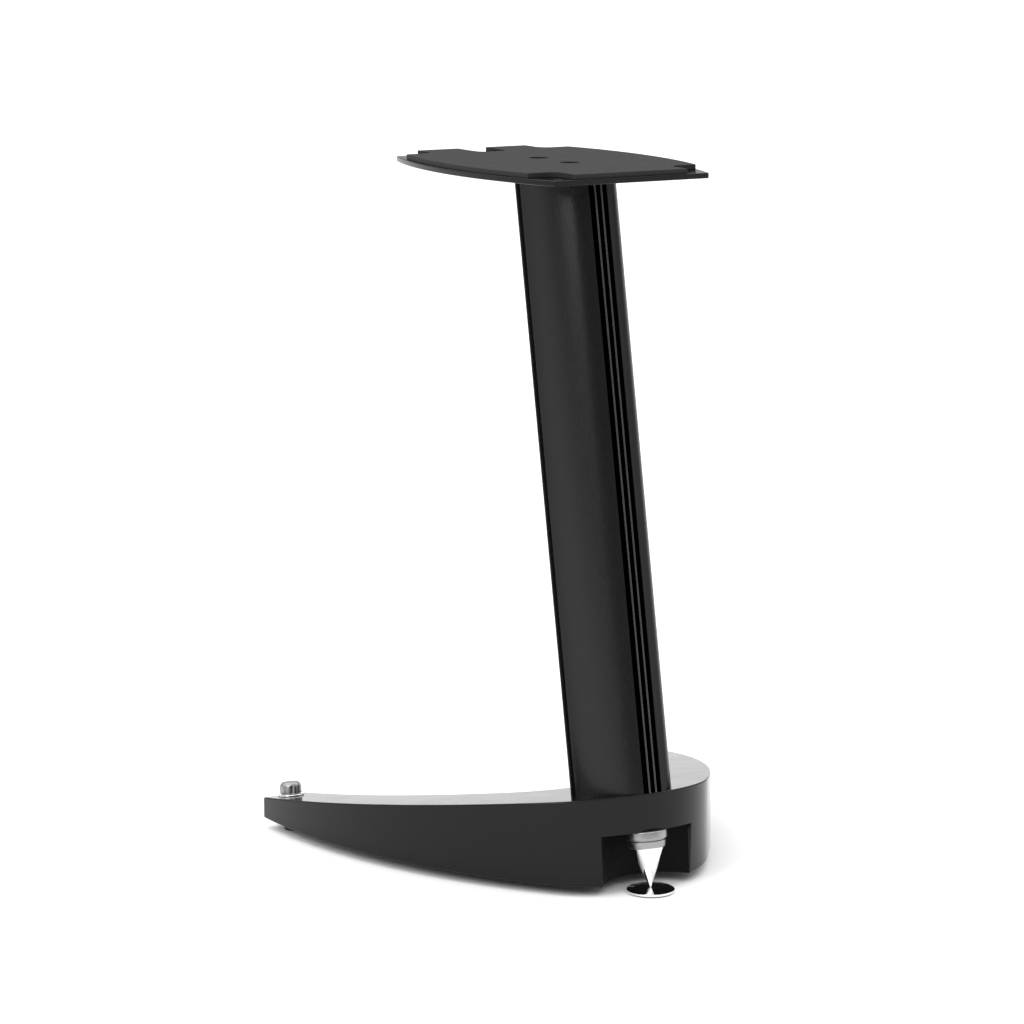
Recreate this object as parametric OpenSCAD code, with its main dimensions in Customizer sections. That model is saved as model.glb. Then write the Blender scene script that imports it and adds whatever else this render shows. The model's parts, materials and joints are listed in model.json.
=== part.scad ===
// Floor stand for one bookshelf loudspeaker.
// A crescent wedge base on three spiked feet carries a leaning oval column and a level top plate.
// The working frame has its origin on the floor under the front spike, +Y towards the back.

/* [Overall] */
// Height from the floor to the top of the mat
stand_h = 641.5; // [560:0.5:760]

/* [Base] */
// Depth of the base from its nose to the ends of its arms
base_depth = 374; // [330:1:450]
// How far the nose stands in front of the front spike's point
nose_overhang = 4; // [0:0.5:10]
// Air gap between the floor and the underside of the base
floor_gap = 9; // [8:0.5:14]
// Height of the base's own body above the front spike
base_body_h = 82.5; // [76:0.5:100]
// Fall of the base's top towards the back, in degrees
base_slope = 9.6; // [7:0.1:10]
// Radius of the outer nose
nose_r = 108; // [95:1:120]
// Half angle over which the outer nose runs before the side begins
nose_angle = 51; // [45:0.5:55]
// Radius of the outer sides
side_r = 530; // [480:5:620]
// Distance from the outer nose to the inner edge of the bridge
bridge_depth = 118.5; // [110:0.5:126]
// Radius of the inner nose
inner_nose_r = 83; // [75:1:92]
// Half angle over which the inner nose runs
inner_angle = 48.7; // [44:0.1:52]
// Radius of the inner sides
inner_side_r = 404; // [370:2:440]

/* [Front pocket] */
// Radius of the pocket's back wall
pocket_r = 56.5; // [52:0.5:62]
// How far the pocket's centre lies in front of the front spike
pocket_forward = 27; // [22:0.5:32]
// Tilt of the pocket's wall away from the vertical, in degrees
pocket_tilt = 4.2; // [0:0.1:9.6]
// Thickness of the base left above the pocket
pocket_roof = 34.4; // [32:0.1:40]

/* [Column] */
// Half width of the oval section
column_half_w = 42; // [36:0.5:48]
// Half depth of the oval section
column_half_d = 57; // [50:0.5:62]
// Radius of the oval's front and back
column_nose_r = 32; // [26:0.5:34]
// Wall of the shell
column_wall = 3; // [2.5:0.25:4]
// Lean of the column away from the vertical, in degrees
column_lean = 10.5; // [7:0.1:12]
// Place of the column's axis on the base's top, behind the front spike
column_foot_y = 52; // [50:0.5:60]
// Where the shell stops and the back panel begins, behind the axis
seam_y = 10; // [4:0.5:20]
// Width of the joint line between the shell and the back panel
seam_gap = 1; // [0.6:0.1:2]
// How far the back panel lies inside the shell's outline
panel_inset = 0.6; // [0.3:0.1:1.5]

/* [Front trim] */
// Width of the trim strip in the front of the column
trim_w = 18.4; // [15:0.1:22]
// Depth of the channel that holds the trim strip
trim_depth = 5; // [4.5:0.1:6]
// Width of one rib of the trim strip
trim_rib_w = 2.2; // [1.6:0.1:3]
// Distance between the two ribs
trim_rib_pitch = 6.4; // [5:0.1:7]
// Thickness of the trim strip's floor
trim_floor = 1.6; // [1.2:0.1:2]

/* [Top plate] */
// Depth of the plate
plate_d = 288; // [260:1:320]
// Half width of the plate at its middle
plate_half_w = 103.5; // [90:0.5:120]
// Radius of the bowed sides
plate_side_r = 436; // [380:4:600]
// Radius of the plate's corners
plate_corner_r = 3; // [2:0.5:8]
// Thickness of the plate
plate_t = 5; // [4:0.25:7]
// Distance from the column's axis to the middle of the plate, towards the back
plate_back_shift = 26.3; // [20:0.1:36]
// Radius of the threaded holes in the plate's corners
corner_hole_r = 2.6; // [2:0.1:3.5]
// Sideways distance between the corner holes
corner_hole_dx = 140; // [136:1:146]
// Front to back distance between the corner holes
corner_hole_dy = 266; // [240:1:270]

/* [Mat] */
// Thickness of the mat
mat_t = 4.5; // [3:0.5:7]
// Gap from the mat's edge to the plate's edge
mat_inset = 2.5; // [2:0.5:6]
// Half width of the mat's straight front and back edges
mat_edge_half_w = 58; // [52:0.5:60]
// Depth of the corner cut-outs from the plate's front and back
mat_cut_d = 34; // [28:0.5:40]
// Radius in the inner corner of a corner cut-out
mat_cut_r = 10; // [4:0.5:16]
// Width of the cable notch in the back edge
cable_notch_w = 30; // [24:1:40]
// Depth of the cable notch
cable_notch_d = 44.5; // [25:0.5:50]
// Radius in the inner corners of the cable notch
cable_notch_r = 11; // [4:0.5:12]
// Radius of the round windows over the plate screws
mat_window_r = 9.1; // [8.5:0.1:11]

/* [Spiked feet] */
// Radius of the spikes' threaded shank
shank_r = 5; // [4:0.25:5.5]
// Pitch of the thread
thread_pitch = 1.5; // [1:0.25:2]
// Height of a spike's point above the floor
tip_z = 4; // [3.6:0.1:5]
// Length of the front spike's cone
cone_h = 36.5; // [32:0.5:38]
// Radius of the front spike's cone at its head
cone_r = 15.6; // [13:0.1:16]
// Radius of the front spike's head at its top
head_r = 17.2; // [16.8:0.1:18]
// Height of the front spike's head
head_h = 6.5; // [5:0.5:8]
// Radius of the lock ring above the head
ring_r = 18.5; // [17.5:0.1:20]
// Distance from the end of an arm to its rear spike, on the arm's top
rear_spike_inset = 16; // [14:0.5:18]
// Radius of the knob on a rear spike
knob_r = 10.3; // [9:0.1:12]
// Height of the knob
knob_h = 11.3; // [10.5:0.1:18]
// Height of the domed crown above the flutes
knob_crown_h = 5.2; // [3:0.1:6]
// Number of flutes around the knob
knob_flutes = 10; // [8:1:18]
// Radius of the disc under the front spike
disc_r = 21.8; // [18:0.1:24]
// Thickness of the disc at its rim
disc_rim_h = 2.9; // [2:0.1:3.2]
// Thickness of the disc and of the glides at their middles
disc_h = 4.6; // [4.2:0.1:5]
// Thickness of the felt pad under the disc
pad_t = 1; // [0.6:0.1:1.5]
// Radius of the glides under the rear spikes
glide_r = 9; // [7:0.5:12]

/* [Inserts and fasteners] */
// Outer radius of the threaded inserts in the base
insert_r = 8; // [7:0.25:9]
// Radius of the flange on the rear inserts
flange_r = 12.6; // [11:0.1:14]
// Thickness of that flange
flange_t = 1.6; // [1:0.1:2.5]
// Length of the front insert
front_insert_l = 24; // [20:1:28]
// Radius of the bolts that hold the column to the base
bolt_r = 4; // [3:0.25:5]
// Radius of those bolts' heads
bolt_head_r = 6.5; // [5:0.25:8]
// Height of those bolts' heads
bolt_head_h = 8; // [6:0.5:10]
// Places of the bolts behind the column's axis
bolt_ys = [12, 38];
// Thickness of the base left above the bolt heads' washers
bolt_seat_h = 40; // [32:1:46]
// How far the bolts reach into the bottom block
bolt_reach = 26; // [18:1:32]
// Radius of the screws that hold the plate
plate_screw_r = 3; // [2.5:0.25:4]
// Radius of the countersunk heads of those screws
plate_screw_head_r = 6.6; // [6:0.2:8]
// Length of those screws below the plate
plate_screw_l = 15; // [12:1:16]
// Places of the plate screws behind the column's axis
plate_screw_ys = [-10.3, 44.5];
// Height of the block in the foot of the column
bottom_block_h = 42; // [34:1:60]
// Least height of the block in the head of the column
top_block_h = 34; // [30:1:60]

/* [Clearances] */
// Radial clearance of a shank in its insert or ring
running_clear = 0.06; // [0.03:0.01:0.1]
// Radial clearance of a bolt or screw in its tapped hole
thread_clear = 0.05; // [0.02:0.01:0.1]
// Radial clearance of a bolt in a plain hole
bolt_clear = 0.5; // [0.3:0.1:1]
// Gap between a block and the inside of the column
block_clear = 0.15; // [0.05:0.05:0.5]
// Gap between a knob and the flange below it
knob_gap = 0.5; // [0.3:0.1:1]

/* [Hidden] */
$fn = 96;

// Larger than any part of the stand, for trimming
big = 1000;

nose_y = -nose_overhang;
arm_end_y = nose_y + base_depth;

// Height of the base's top plane above the floor at the front spike
top_z0 = floor_gap + base_body_h;
plate_top_z = stand_h - mat_t;
plate_bottom_z = plate_top_z - plate_t;

// Distance along the front spike from its point to the base's top plane, and to the pocket's roof
top_s = (top_z0 - tip_z) * cos(base_slope);
roof_s = top_s - pocket_roof;
head_s = cone_h + head_h;

// Half width at y of a region with a round nose and bowed sides
function side_x(apex_y, nr, angle, sr, y) =
    sqrt(sr * sr - pow(y - apex_y - nr - (sr - nr) * cos(angle), 2)) - (sr - nr) * sin(angle);

// A rear spike stands in the middle of its arm: its place on the top, the floor point under it,
// and its run up to the top
rear_top_y = arm_end_y - rear_spike_inset;
inner_y = nose_y + bridge_depth;
rear_spike_x = (side_x(nose_y, nose_r, nose_angle, side_r, rear_top_y)
    + side_x(inner_y, inner_nose_r, inner_angle, inner_side_r, rear_top_y)) / 2;
rear_top_z = top_z0 - rear_top_y * tan(base_slope);
rear_top_s = (rear_top_z - tip_z) / cos(base_slope);
rear_tip_y = rear_top_y - (rear_top_z - tip_z) * tan(base_slope);
rear_knob_s = rear_top_s + flange_t + knob_gap;
rear_cone_h = 8;
// The rod's end stays this far below the knob's crown
knob_cap = 4;
tip_r = 0.5;
tip_flat = 0.2;
// Small chamfer on metal edges
edge = 0.6;

// The whole stand is centred front to back on its own depth
centre_y = (max(arm_end_y, rear_tip_y + glide_r) + min(nose_y, -disc_r)) / 2;

column_foot_z = top_z0 - column_foot_y * tan(base_slope);
column_top_y = column_foot_y + (plate_bottom_z - column_foot_z) * tan(column_lean);
plate_y = column_top_y + plate_back_shift;
column_len = (plate_bottom_z - column_foot_z) / cos(column_lean);
// Extra length at each end of the column before it is trimmed to the base and the plate
column_spare = column_half_d * tan(column_lean + base_slope) + 5;

washer_t = 1.6;
washer_r = bolt_head_r + 2;

// A point rests in a dimple with this gap below it
tip_gap = 0.3;
dimple_r = 3;
dimple_z = tip_z - tip_gap;

// Moves the working frame to the stand's own frame
module placed() {
    translate([0, -centre_y, 0]) children();
}

// Everything below the base's top plane
module below_top() {
    intersection() {
        children();
        translate([0, 0, top_z0]) rotate([-base_slope, 0, 0])
            translate([-big, -big, -big]) cube([2 * big, 2 * big, big]);
    }
}

// A region with a round nose and long bowed sides, open towards the back
module nosed_region(apex_y, nr, angle, sr, end_y) {
    nose_c = apex_y + nr;
    centre_x = (sr - nr) * sin(angle);
    centre_back = nose_c + (sr - nr) * cos(angle);
    meet_y = nose_c - nr * cos(angle);
    translate([0, nose_c]) circle(r = nr, $fn = 180);
    intersection() {
        translate([-centre_x, centre_back]) circle(r = sr, $fn = 720);
        translate([centre_x, centre_back]) circle(r = sr, $fn = 720);
        translate([-big / 2, meet_y]) square([big, end_y - meet_y]);
    }
}

// Plan of the crescent base
module base_plan() {
    difference() {
        nosed_region(nose_y, nose_r, nose_angle, side_r, arm_end_y);
        nosed_region(inner_y, inner_nose_r, inner_angle, inner_side_r, arm_end_y + 20);
    }
}

// An oval of four tangent arcs
module oval(half_w, half_d, nr) {
    c = ((half_d - nr) * (half_d - nr) - (half_w - nr) * (half_w - nr)) / (2 * (half_w - nr));
    sr = half_w + c;
    meet_y = sr * (half_d - nr) / (sr - nr);
    for (s = [-1, 1]) translate([0, s * (half_d - nr)]) circle(r = nr);
    intersection() {
        translate([-c, 0]) circle(r = sr, $fn = 180);
        translate([c, 0]) circle(r = sr, $fn = 180);
        square([4 * half_w, 2 * meet_y], center = true);
    }
}

// The column's oval, drawn in by a wall
module column_oval(inward) {
    oval(column_half_w - inward, column_half_d - inward, column_nose_r - inward);
}

// Frame whose Z runs up the front spike from its point
module on_front_spike() {
    translate([0, 0, tip_z]) rotate([-base_slope, 0, 0]) children();
}

// Frame whose Z runs up a rear spike from its point; side is -1 for left and 1 for right
module on_rear_spike(side) {
    translate([side * rear_spike_x, rear_tip_y, tip_z]) rotate([-base_slope, 0, 0]) children();
}

// Frame whose Z runs up the column's axis from the base's top
module on_column() {
    translate([0, column_foot_y, column_foot_z]) rotate([-column_lean, 0, 0]) children();
}

// A piece of the column, given by its section, cut to the base's top and the plate's underside
module column_length(from_s, to_s) {
    difference() {
        on_column() translate([0, 0, from_s]) linear_extrude(to_s - from_s) children();
        translate([0, 0, top_z0]) rotate([-base_slope, 0, 0])
            translate([-big, -big, -big]) cube([2 * big, 2 * big, big]);
        translate([-big, -big, plate_bottom_z]) cube([2 * big, 2 * big, big]);
    }
}

// Round pocket in the nose; its roof lies square to the front spike
module front_pocket() {
    intersection() {
        translate([0, 0, tip_z]) rotate([-pocket_tilt, 0, 0])
            translate([0, -pocket_forward, -big / 10]) cylinder(r = pocket_r, h = big / 5, $fn = 180);
        on_front_spike() translate([-big / 2, -big / 2, roof_s - big / 2])
            cube([big, big, big / 2]);
    }
}

module base() {
    color([0.05, 0.05, 0.055]) placed() difference() {
        below_top() translate([0, 0, floor_gap]) linear_extrude(top_z0) base_plan();
        front_pocket();
        on_front_spike() cylinder(r = insert_r, h = roof_s + front_insert_l);
        for (side = [-1, 1]) on_rear_spike(side)
            translate([0, 0, -tip_z]) cylinder(r = insert_r, h = rear_top_s + 2 * tip_z);
        on_column() for (y = bolt_ys) translate([0, y, 0]) {
            translate([0, 0, -big / 4]) cylinder(r = bolt_r + bolt_clear, h = big / 2);
            translate([0, 0, -bolt_seat_h - big / 4])
                cylinder(r = washer_r + bolt_clear, h = big / 4);
        }
    }
}

// A threaded bush: a tube with its bore along Z
module bush(outer_r, bore_r, length) {
    difference() {
        cylinder(r = outer_r, h = length);
        translate([0, 0, -1]) cylinder(r = bore_r, h = length + 2);
    }
}

module front_insert() {
    color([0.72, 0.7, 0.62]) placed() on_front_spike()
        translate([0, 0, roof_s]) bush(insert_r, shank_r + running_clear, front_insert_l);
}

// A rear insert runs right through the arm, and its flange shows on top
module rear_insert(side) {
    color([0.8, 0.8, 0.8]) placed() difference() {
        on_rear_spike(side) {
            cylinder(r = insert_r, h = rear_top_s);
            translate([0, 0, rear_top_s]) cylinder(r = flange_r, h = flange_t);
        }
        on_rear_spike(side) translate([0, 0, -1])
            cylinder(r = shank_r + running_clear, h = rear_top_s + flange_t + 2);
        translate([-big, -big, floor_gap - big]) cube([2 * big, 2 * big, big]);
    }
}
module rear_left_insert() { rear_insert(-1); }
module rear_right_insert() { rear_insert(1); }

// Front spike: a wide cone, a head that flares upwards and the shank that turns in the insert
module front_spike() {
    shank_top = roof_s + front_insert_l - 2;
    shank_chamfer = 1;
    color([0.86, 0.86, 0.88]) placed() on_front_spike() rotate_extrude()
        polygon([[0, 0], [tip_r, tip_flat], [cone_r, cone_h], [cone_r + edge, cone_h + edge / 2],
                 [head_r, head_s - edge], [head_r - edge, head_s], [shank_r, head_s],
                 [shank_r, shank_top - shank_chamfer], [shank_r - shank_chamfer, shank_top],
                 [0, shank_top]]);
}

// Lock ring, run up against the pocket's roof
module front_lock_ring() {
    ring_gap = 0.3;
    bottom = head_s + ring_gap;
    bore = shank_r + running_clear;
    color([0.62, 0.62, 0.64]) placed() on_front_spike() rotate_extrude()
        polygon([[bore, bottom], [ring_r - 2 * edge, bottom], [ring_r, bottom + 3 * edge],
                 [ring_r, roof_s - edge], [ring_r - edge, roof_s], [bore, roof_s]]);
}

// Rear spike: a pointed threaded rod that reaches up into the knob
module rear_spike(side) {
    rod_top = rear_knob_s + knob_h - knob_cap;
    color([0.86, 0.86, 0.88]) placed() on_rear_spike(side) rotate_extrude()
        polygon([[0, 0], [tip_r, tip_flat], [shank_r, rear_cone_h], [shank_r, rod_top],
                 [0, rod_top]]);
}
module rear_left_spike() { rear_spike(-1); }
module rear_right_spike() { rear_spike(1); }

// Knob with a smooth domed crown over a fluted grip, closed over the rod's end
module rear_knob(side) {
    flute_r = 2.2;
    flute_d = 1;
    crown_flat_r = knob_r - knob_crown_h;
    grip_h = knob_h - knob_crown_h;
    steps = 12;
    color([0.7, 0.7, 0.72]) placed() on_rear_spike(side) translate([0, 0, rear_knob_s])
        difference() {
            rotate_extrude() polygon(concat([[0, 0], [knob_r - edge, 0], [knob_r, edge]],
                [for (i = [0 : steps]) [crown_flat_r + knob_crown_h * cos(90 * i / steps),
                                        grip_h + knob_crown_h * sin(90 * i / steps)]],
                [[0, knob_h]]));
            translate([0, 0, -1]) cylinder(r = shank_r, h = knob_h - knob_cap + 1);
            for (i = [0 : knob_flutes - 1]) rotate([0, 0, 360 * i / knob_flutes])
                translate([knob_r + flute_r - flute_d, 0, -1])
                    cylinder(r = flute_r, h = grip_h + 1.5, $fn = 24);
        }
}
module rear_left_knob() { rear_knob(-1); }
module rear_right_knob() { rear_knob(1); }

// Disc between the front spike and the floor: a low cone with a dimple for the point
module front_disc() {
    color([0.3, 0.3, 0.32]) placed() rotate_extrude()
        polygon([[0, pad_t], [disc_r - edge, pad_t], [disc_r, pad_t + edge / 2],
                 [disc_r, disc_rim_h], [disc_r - edge, disc_rim_h + edge / 2],
                 [dimple_r + edge, disc_h], [dimple_r, disc_h], [0, dimple_z]]);
}

// Felt pad glued under the disc
module front_disc_pad() {
    color([0.12, 0.12, 0.12]) placed() cylinder(r = disc_r - 2, h = pad_t);
}

// Small glide between a rear spike and the floor
module rear_glide(side) {
    color([0.1, 0.1, 0.1]) placed() translate([side * rear_spike_x, rear_tip_y, 0])
        rotate_extrude() polygon([[0, 0], [glide_r - edge, 0], [glide_r, edge],
            [glide_r, disc_h - 2 * edge], [glide_r - 2 * edge, disc_h], [dimple_r, disc_h],
            [0, dimple_z]]);
}
module rear_left_glide() { rear_glide(-1); }
module rear_right_glide() { rear_glide(1); }

// Front and sides of the column, with a channel for the trim strip
module column_shell() {
    color([0.12, 0.12, 0.125]) placed()
        column_length(-column_spare, column_len + column_spare) difference() {
            column_oval(0);
            difference() {
                column_oval(column_wall);
                translate([0, -column_half_d + (trim_depth + column_wall) / 2])
                    square([trim_w + 2 * column_wall, trim_depth + column_wall], center = true);
            }
            translate([-trim_w / 2, -column_half_d - 1]) square([trim_w, trim_depth + 1]);
            translate([-big / 2, seam_y]) square([big, big]);
        }
}

// Strip with two ribs and three grooves, in the channel of the shell
module column_front_trim() {
    strip_w = trim_w - 0.1;
    rib_h = trim_depth - trim_floor;
    color([0.2, 0.2, 0.21]) placed()
        column_length(-column_spare, column_len + column_spare) intersection() {
            column_oval(0.3);
            union() {
                translate([-strip_w / 2, -column_half_d + trim_depth - trim_floor])
                    square([strip_w, trim_floor]);
                for (s = [-1, 1])
                    translate([s * trim_rib_pitch / 2 - trim_rib_w / 2, -column_half_d])
                        square([trim_rib_w, rib_h + trim_floor / 2]);
            }
        }
}

// Back of the column, a separate panel behind the joint line
module column_back_panel() {
    color([0.09, 0.09, 0.09]) placed()
        column_length(-column_spare, column_len + column_spare) difference() {
            column_oval(panel_inset);
            column_oval(column_wall);
            translate([-big / 2, seam_y + seam_gap - big]) square([big, big]);
        }
}

// A block that fills the column, clear of the trim channel
module column_core() {
    difference() {
        column_oval(column_wall + block_clear);
        translate([0, -column_half_d + (trim_depth + column_wall) / 2])
            square([trim_w + 2 * column_wall + 2 * block_clear,
                    trim_depth + column_wall + 2 * block_clear], center = true);
    }
}

module column_bottom_block() {
    color([0.6, 0.6, 0.62]) placed() difference() {
        column_length(-column_spare, bottom_block_h) column_core();
        on_column() for (y = bolt_ys) translate([0, y, -column_spare])
            cylinder(r = bolt_r + thread_clear, h = column_spare + bolt_reach + 3);
    }
}

module column_top_block() {
    color([0.6, 0.6, 0.62]) placed() difference() {
        column_length(column_len - top_block_h, column_len + column_spare) column_core();
        for (y = plate_screw_ys)
            translate([0, column_top_y + y, plate_bottom_z - plate_screw_l - 2])
                cylinder(r = plate_screw_r + thread_clear, h = plate_screw_l + 3);
    }
}

// Bolts from under the base into the bottom block
module base_bolts() {
    head_top = -bolt_seat_h - washer_t;
    color([0.25, 0.25, 0.26]) placed() on_column() for (y = bolt_ys) translate([0, y, head_top]) {
        cylinder(r = bolt_r, h = bolt_reach - head_top);
        translate([0, 0, -bolt_head_h]) difference() {
            cylinder(r = bolt_head_r, h = bolt_head_h);
            translate([0, 0, -1])
                cylinder(r = bolt_r * 0.85, h = bolt_head_h / 2 + 1, $fn = 6);
        }
    }
}

module base_bolt_washers() {
    color([0.6, 0.6, 0.62]) placed() on_column() for (y = bolt_ys)
        translate([0, y, -bolt_seat_h - washer_t]) bush(washer_r, bolt_r + thread_clear, washer_t);
}

// Plan of the plate: straight front and back, bowed sides, round corners
module plate_plan(inset) {
    half_d = plate_d / 2 - inset;
    half_w = plate_half_w - inset;
    // Half width where a corner's circle is centred
    corner_y = half_d - plate_corner_r;
    corner_x = sqrt(pow(plate_side_r - plate_corner_r, 2) - corner_y * corner_y)
        - (plate_side_r - half_w);
    intersection() {
        translate([plate_side_r - half_w, 0]) circle(r = plate_side_r, $fn = 720);
        translate([half_w - plate_side_r, 0]) circle(r = plate_side_r, $fn = 720);
        union() {
            square([2 * big, 2 * corner_y], center = true);
            square([2 * corner_x, 2 * half_d], center = true);
            for (sx = [-1, 1]) for (sy = [-1, 1]) translate([sx * corner_x, sy * corner_y])
                circle(r = plate_corner_r, $fn = 48);
        }
    }
}

module top_plate() {
    color([0.1, 0.1, 0.105]) placed() translate([0, plate_y, plate_bottom_z]) difference() {
        linear_extrude(plate_t) plate_plan(0);
        for (y = plate_screw_ys) translate([0, y - plate_back_shift, 0]) {
            translate([0, 0, -1]) cylinder(r = plate_screw_r + bolt_clear, h = plate_t + 2);
            rotate_extrude() polygon([[0, plate_t - plate_screw_head_r - 0.2],
                [plate_screw_head_r + 0.3, plate_t + 0.1], [0, plate_t + 0.1]]);
        }
        for (sx = [-1, 1]) for (sy = [-1, 1])
            translate([sx * corner_hole_dx / 2, sy * corner_hole_dy / 2, -1])
                cylinder(r = corner_hole_r, h = plate_t + 2, $fn = 48);
    }
}

// Square cut with a rounded inner corner, from its inner corner outwards
module corner_cut(size, r) {
    difference() {
        square(size);
        difference() {
            square(r);
            translate([r, r]) circle(r = r);
        }
    }
}

// Soft mat with cut corners, a cable notch and a window over each plate screw
module top_mat() {
    cut_y = plate_d / 2 - mat_cut_d;
    notch_y = plate_d / 2 - mat_inset - cable_notch_d;
    color([0.16, 0.16, 0.17]) placed() translate([0, plate_y, plate_top_z])
        linear_extrude(mat_t) difference() {
            plate_plan(mat_inset);
            for (sx = [-1, 1]) for (sy = [-1, 1]) scale([sx, sy])
                translate([mat_edge_half_w, cut_y]) corner_cut(plate_half_w, mat_cut_r);
            for (sx = [-1, 1]) translate([0, notch_y]) scale([sx, 1]) translate([cable_notch_w / 2, 0])
                scale([-1, 1]) corner_cut([cable_notch_w / 2, 2 * cable_notch_d], cable_notch_r);
            for (y = plate_screw_ys) translate([0, y - plate_back_shift]) circle(r = mat_window_r);
        }
}

// Countersunk screws that hold the plate to the top block
module plate_screws() {
    color([0.3, 0.3, 0.31]) placed() for (y = plate_screw_ys)
        translate([0, column_top_y + y, plate_top_z]) difference() {
            rotate_extrude() polygon([[0, 0], [plate_screw_head_r, 0],
                [plate_screw_r, plate_screw_r - plate_screw_head_r],
                [plate_screw_r, -plate_t - plate_screw_l], [0, -plate_t - plate_screw_l]]);
            translate([0, 0, -2]) cylinder(r = plate_screw_r * 0.7, h = 3, $fn = 6);
        }
}

base();
front_insert();
rear_left_insert();
rear_right_insert();
front_spike();
front_lock_ring();
front_disc();
front_disc_pad();
rear_left_spike();
rear_right_spike();
rear_left_knob();
rear_right_knob();
rear_left_glide();
rear_right_glide();
column_shell();
column_front_trim();
column_back_panel();
column_bottom_block();
column_top_block();
base_bolts();
base_bolt_washers();
top_plate();
top_mat();
plate_screws();
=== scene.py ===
"""Looks of the loudspeaker floor stand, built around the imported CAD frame. Metres throughout."""
import json
import math

import bmesh
import bpy
from mathutils import Matrix, Vector


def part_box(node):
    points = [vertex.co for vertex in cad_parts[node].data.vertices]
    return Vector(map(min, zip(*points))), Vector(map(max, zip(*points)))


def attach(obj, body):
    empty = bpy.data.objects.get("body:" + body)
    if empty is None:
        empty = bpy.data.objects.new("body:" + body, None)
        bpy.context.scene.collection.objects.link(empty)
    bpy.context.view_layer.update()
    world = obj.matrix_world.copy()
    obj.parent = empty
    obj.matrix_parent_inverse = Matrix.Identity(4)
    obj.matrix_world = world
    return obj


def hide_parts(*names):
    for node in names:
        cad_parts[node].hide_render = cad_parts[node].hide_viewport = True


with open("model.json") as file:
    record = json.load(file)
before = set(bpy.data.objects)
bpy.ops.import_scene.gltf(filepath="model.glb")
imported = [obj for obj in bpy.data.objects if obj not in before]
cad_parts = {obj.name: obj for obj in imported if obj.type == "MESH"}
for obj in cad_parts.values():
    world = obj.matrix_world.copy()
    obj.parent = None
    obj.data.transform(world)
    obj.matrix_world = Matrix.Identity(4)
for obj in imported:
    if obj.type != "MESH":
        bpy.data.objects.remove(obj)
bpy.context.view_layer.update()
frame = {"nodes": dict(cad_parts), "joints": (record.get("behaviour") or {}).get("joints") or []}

MM = 0.001

# ---------------------------------------------------------------- sizes

JOINTS = {j["name"]: j for j in frame["joints"]}
BOX = {name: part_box(name) for name in frame["nodes"]}


def low(node):
    """Lowest corner of a CAD node."""
    return Vector(BOX[node][0])


def high(node):
    """Highest corner of a CAD node."""
    return Vector(BOX[node][1])


# Base: crescent plan, top sloping down to the back
NOSE_Y = low("base").y
ARM_END_Y = high("base").y
FLOOR_GAP = low("base").z
SPIKE_AXIS = Vector(JOINTS["front_turn"]["axis"]).normalized()
SLOPE = math.atan2(SPIKE_AXIS.y, SPIKE_AXIS.z)
FRONT_TIP = Vector(JOINTS["front_turn"]["pos_m"])
TOP_Z0 = high("base").z - (FRONT_TIP.y - NOSE_Y) * math.tan(SLOPE)
NOSE_R = 108 * MM
NOSE_ANGLE = math.radians(51)
SIDE_R = 530 * MM
BRIDGE_DEPTH = 118.5 * MM
INNER_NOSE_R = 83 * MM
INNER_ANGLE = math.radians(48.7)
INNER_SIDE_R = 404 * MM
BASE_EDGE_R = 1.4 * MM

# Pocket under the nose
POCKET_R = 56.5 * MM
POCKET_FORWARD = 27 * MM
POCKET_TILT = math.radians(4.2)
POCKET_ROOF = 34.4 * MM

# Column
LEAN = math.radians(10.5)
COLUMN_HALF_W = 42 * MM
COLUMN_HALF_D = 57 * MM
COLUMN_NOSE_R = 32 * MM
COLUMN_WALL = 3 * MM
COLUMN_FOOT_Y = FRONT_TIP.y + 52 * MM
BOLT_YS = (12 * MM, 38 * MM)
BOLT_SEAT_H = 40 * MM
WELL_R = 9 * MM
BOLT_HOLE_R = 4.5 * MM
SEAM_Y = 10 * MM
SEAM_GAP = 1 * MM
PANEL_INSET = 0.6 * MM
TRIM_W = 18.4 * MM
TRIM_DEPTH = 5 * MM
TRIM_FLOOR = 1.6 * MM
TRIM_RIB_W = 1.9 * MM
TRIM_RIB_PITCH = 6.4 * MM
TRIM_RIB_INSET = 0.3 * MM

# Plate and mat
PLATE_TOP_Z = high("top_plate").z
PLATE_BOTTOM_Z = low("top_plate").z
PLATE_MID_Y = (high("top_plate").y + low("top_plate").y) / 2
PLATE_HALF_D = (high("top_plate").y - low("top_plate").y) / 2
PLATE_HALF_W = high("top_plate").x
PLATE_SIDE_R = 436 * MM
PLATE_CORNER_R = 3 * MM
PLATE_EDGE_R = 0.9 * MM
CORNER_HOLE_R = 2.6 * MM
CORNER_HOLE_DX = 140 * MM
CORNER_HOLE_DY = 266 * MM
MAT_TOP_Z = high("top_mat").z
MAT_INSET = PLATE_HALF_D - (high("top_mat").y - low("top_mat").y) / 2
MAT_EDGE_HALF_W = 58 * MM
MAT_CUT_D = 34 * MM
MAT_CUT_R = 10 * MM
MAT_EDGE_R = 0.4 * MM
CABLE_NOTCH_W = 30 * MM
CABLE_NOTCH_D = 44.5 * MM
CABLE_NOTCH_R = 11 * MM
MAT_WINDOW_R = 9.1 * MM
PLATE_SCREW_YS = (-36.6 * MM, 18.2 * MM)
PLATE_SCREW_HEAD_R = 6.6 * MM

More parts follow.
